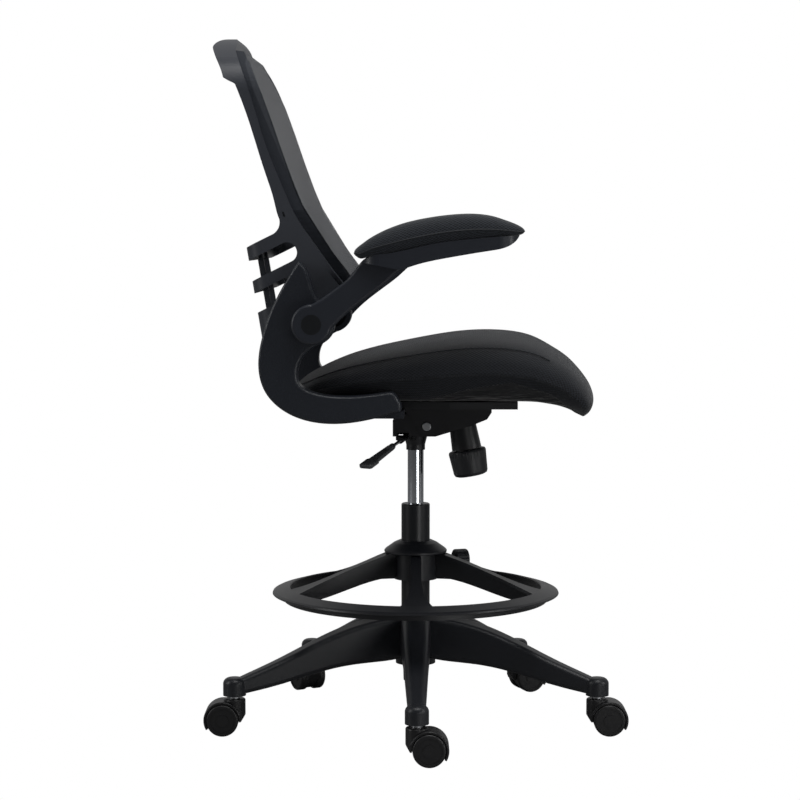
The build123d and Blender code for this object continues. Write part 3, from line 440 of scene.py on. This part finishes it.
def on_side(rows_at, x_part, t, x_centre=0.0):
    """Points on both sides of a cushion at one place of its section, run as one U."""
    right = []
    for ty, tz, by, bz, w in rows_at:
        right.append((x_centre - x_part * w, by + (ty - by) * t, bz + (tz - bz) * t))
    left = [(2 * x_centre - x, y, z) for x, y, z in reversed(right)]
    return right + left


seam_rows = seat_rows[3:46]
seam = cord_along("CushionSeam", on_side(seam_rows, 0.90, 0.835), 1.1, seam_cloth)
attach(seam, "seat")

PAD_STATIONS = [
    (91.5, 835, 91.5, 829, 16), (88, 839, 87.5, 825.8, 28), (80, 845.5, 79, 822.2, 36),
    (62, 858, 62, 826.9, 40), (37, 870.5, 37, 831.1, 41), (7, 881, 7, 837, 41),
    (-28, 888.5, -28, 844.2, 41), (-63, 893.2, -63, 850, 41), (-98, 895, -98, 853.9, 41),
    (-128, 892, -128, 856.3, 40), (-153, 884.5, -153, 858.2, 37), (-170, 878, -170, 859.5, 31),
    (-180, 872.5, -180, 861.8, 23), (-184, 868.5, -184, 865.5, 13),
]
PAD_SECTION = [(0, 1), (0.35, 0.99), (0.65, 0.93), (0.86, 0.78), (0.97, 0.55), (1.0, 0.32)]
for side, x_centre in (("right", -278), ("left", 278)):
    pad, pad_rows = cushion(
        f"{side.capitalize()}Pad", PAD_STATIONS, PAD_SECTION, x_centre, pad_cloth, 48, 32
    )
    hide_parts(f"{side}_arm_pad")
    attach(pad, f"{side}_arm")
    bead = on_side(pad_rows[1:-1], 0.985, 0.36, x_centre)
    edge = cord_along(f"{side.capitalize()}PadSeam", bead, 1.3, seam_cloth, closed=True)
    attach(edge, f"{side}_arm")

# ---- back mesh ------------------------------------------------------------------------
MESH_CURVE = [  # (y, z) of the mesh from its foot to its top
    (85, 769), (96, 784), (112, 806), (131, 831), (148, 858), (163, 882), (179, 908),
    (193, 941), (211, 990), (228, 1040), (246, 1090), (264, 1130), (281.5, 1165),
]


def mesh_y(z):
    """How far back the mesh lies at a height."""
    for (y0, z0), (y1, z1) in zip(MESH_CURVE, MESH_CURVE[1:]):
        if z <= z1:
            return y0 + (y1 - y0) * (z - z0) / (z1 - z0)
    return MESH_CURVE[-1][0]


def rounded_drop(x, half, radius):
    """How far a rounded corner falls from its straight edge at a distance from the middle."""
    over = abs(x) - (half - radius)
    if over <= 0:
        return 0.0
    over = min(over, radius)
    return radius - sqrt(radius**2 - over**2)


# The mesh's outline, in millimetres apart from the two last values.
TOP_HALF = 230
MESH_LOW = 772
MESH_TOP = 1165
ARCH_TOP = 1197              # crown and drop of the arch that the top edge keeps under
ARCH_DROP = 62
TOP_CORNER = 61
LOW_CORNER = 36
WAIST_Z = 901                # below this height the mesh narrows to its foot
WAIST_SHARE = 0.128 / 130    # of the width lost for each millimetre down
EDGE_CROWDING = 1.15         # sets the columns closer near the sides
wide, tall = 88, 84
verts, uvs, faces = [], [], []
for j in range(tall + 1):
    for i in range(wide + 1):
        a = -1 + 2 * i / wide
        across = TOP_HALF * (1 - (1 - abs(a)) ** EDGE_CROWDING) * (1 if a >= 0 else -1)
        arch = ARCH_TOP - ARCH_DROP * (across / TOP_HALF) ** 2
        z_top = min(MESH_TOP, arch) - rounded_drop(across, TOP_HALF, TOP_CORNER)
        z_low = MESH_LOW + rounded_drop(across, TOP_HALF, LOW_CORNER)
        z = z_low + (z_top - z_low) * j / tall
        narrow = 1.0 - WAIST_SHARE * max(WAIST_Z - z, 0)
        x = across * narrow
        verts.append((x * MM, mesh_y(z) * MM + 0.0002, z * MM))
        uvs.append((x * MM, z * MM * 1.08))
for j in range(tall):
    for i in range(wide):
        a = j * (wide + 1) + i
        faces.append((a, a + 1, a + wide + 2, a + wide + 1))
web = new_object("BackMesh", verts, faces, back_cloth, uvs)
thick = web.modifiers.new("Thickness", "SOLIDIFY")
thick.thickness = 0.0009
thick.offset = 0.0
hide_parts("back_mesh")
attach(web, "seat")

# ---- camera, light, floor -------------------------------------------------------------
CAMERA_SPOT = (-3.9486, -0.1104, 0.87)
CAMERA_FALL = 4.33           # degrees below level
CAMERA_TURN = -88            # degrees from +Y, about the vertical
CAMERA_LENS = 101.63
SENSOR_WIDTH = 36

scene = bpy.context.scene
camera_data = bpy.data.cameras.new("PhotoCamera")
camera_data.lens = CAMERA_LENS
camera_data.sensor_width = SENSOR_WIDTH
camera_data.dof.use_dof = False
camera_data.clip_end = 60
camera = bpy.data.objects.new("PhotoCamera", camera_data)
camera.location = CAMERA_SPOT
camera.rotation_euler = (radians(90 - CAMERA_FALL), 0, radians(CAMERA_TURN))
scene.collection.objects.link(camera)
scene.camera = camera


def area_light(name, power, size, spot, target, size_y):
    """A soft rectangular light at a spot, turned to its target."""
    data = bpy.data.lights.new(name, "AREA")
    data.energy = power
    data.shape = "RECTANGLE"
    data.size = size
    data.size_y = size_y
    lamp = bpy.data.objects.new(name, data)
    lamp.location = spot
    lamp.rotation_euler = (Vector(target) - Vector(spot)).to_track_quat("-Z", "Y").to_euler()
    scene.collection.objects.link(lamp)


area_light("TopSoftbox", 40, 1.7, (-0.9, -0.3, 3.1), (0, 0, 0.6), 1.7)
area_light("FrontStrip", 28, 0.5, (-1.4, -3.2, 1.7), (0, 0, 0.8), 2.4)
area_light("RearStrip", 28, 0.5, (-1.2, 3.2, 1.8), (0, 0, 0.8), 2.4)
area_light("LowFill", 9, 1.2, (-2.6, -1.6, 0.15), (0, 0, 0.5), 0.5)

# The surroundings are white to the camera, and light the chair by direction.
world = bpy.data.worlds.new("Studio")
scene.world = world
world.use_nodes = True
tree = world.node_tree
background = tree.nodes["Background"]
path = add(tree, "ShaderNodeLightPath")
around = add(tree, "ShaderNodeTexCoord")
heading = add(tree, "ShaderNodeSeparateXYZ")
tree.links.new(around.outputs["Generated"], heading.inputs["Vector"])
behind = add(tree, "ShaderNodeMapRange")
behind.inputs["From Min"].default_value = -0.1
behind.inputs["From Max"].default_value = 0.9
behind.inputs["To Min"].default_value = 0.07
behind.inputs["To Max"].default_value = 0.42
tree.links.new(heading.outputs["X"], behind.inputs["Value"])
level = add(tree, "ShaderNodeMix")
level.inputs[3].default_value = 1.0
tree.links.new(path.outputs["Is Camera Ray"], level.inputs[0])
tree.links.new(behind.outputs["Result"], level.inputs[2])
background.inputs["Color"].default_value = (1, 1, 1, 1)
tree.links.new(level.outputs[0], background.inputs["Strength"])

floor_mat, tree, shader = material("StudioFloor")
shader.inputs["Base Color"].default_value = (0.28, 0.28, 0.28, 1)
glow = add(tree, "ShaderNodeEmission")
glow.inputs["Color"].default_value = (1, 1, 1, 1)
glow.inputs["Strength"].default_value = 1.0
path = add(tree, "ShaderNodeLightPath")
both = add(tree, "ShaderNodeMixShader")
tree.links.new(path.outputs["Is Camera Ray"], both.inputs["Fac"])
tree.links.new(shader.outputs["BSDF"], both.inputs[1])
tree.links.new(glow.outputs["Emission"], both.inputs[2])
tree.links.new(both.outputs["Shader"], tree.nodes["Material Output"].inputs["Surface"])
FLOOR_HALF = 30
floor = new_object(
    "StudioFloor",
    [(x * FLOOR_HALF, y * FLOOR_HALF, 0) for x, y in ((-1, -1), (1, -1), (1, 1), (-1, 1))],
    [(0, 1, 2, 3)],
    floor_mat,
)
scene.view_settings.view_transform = "Standard"
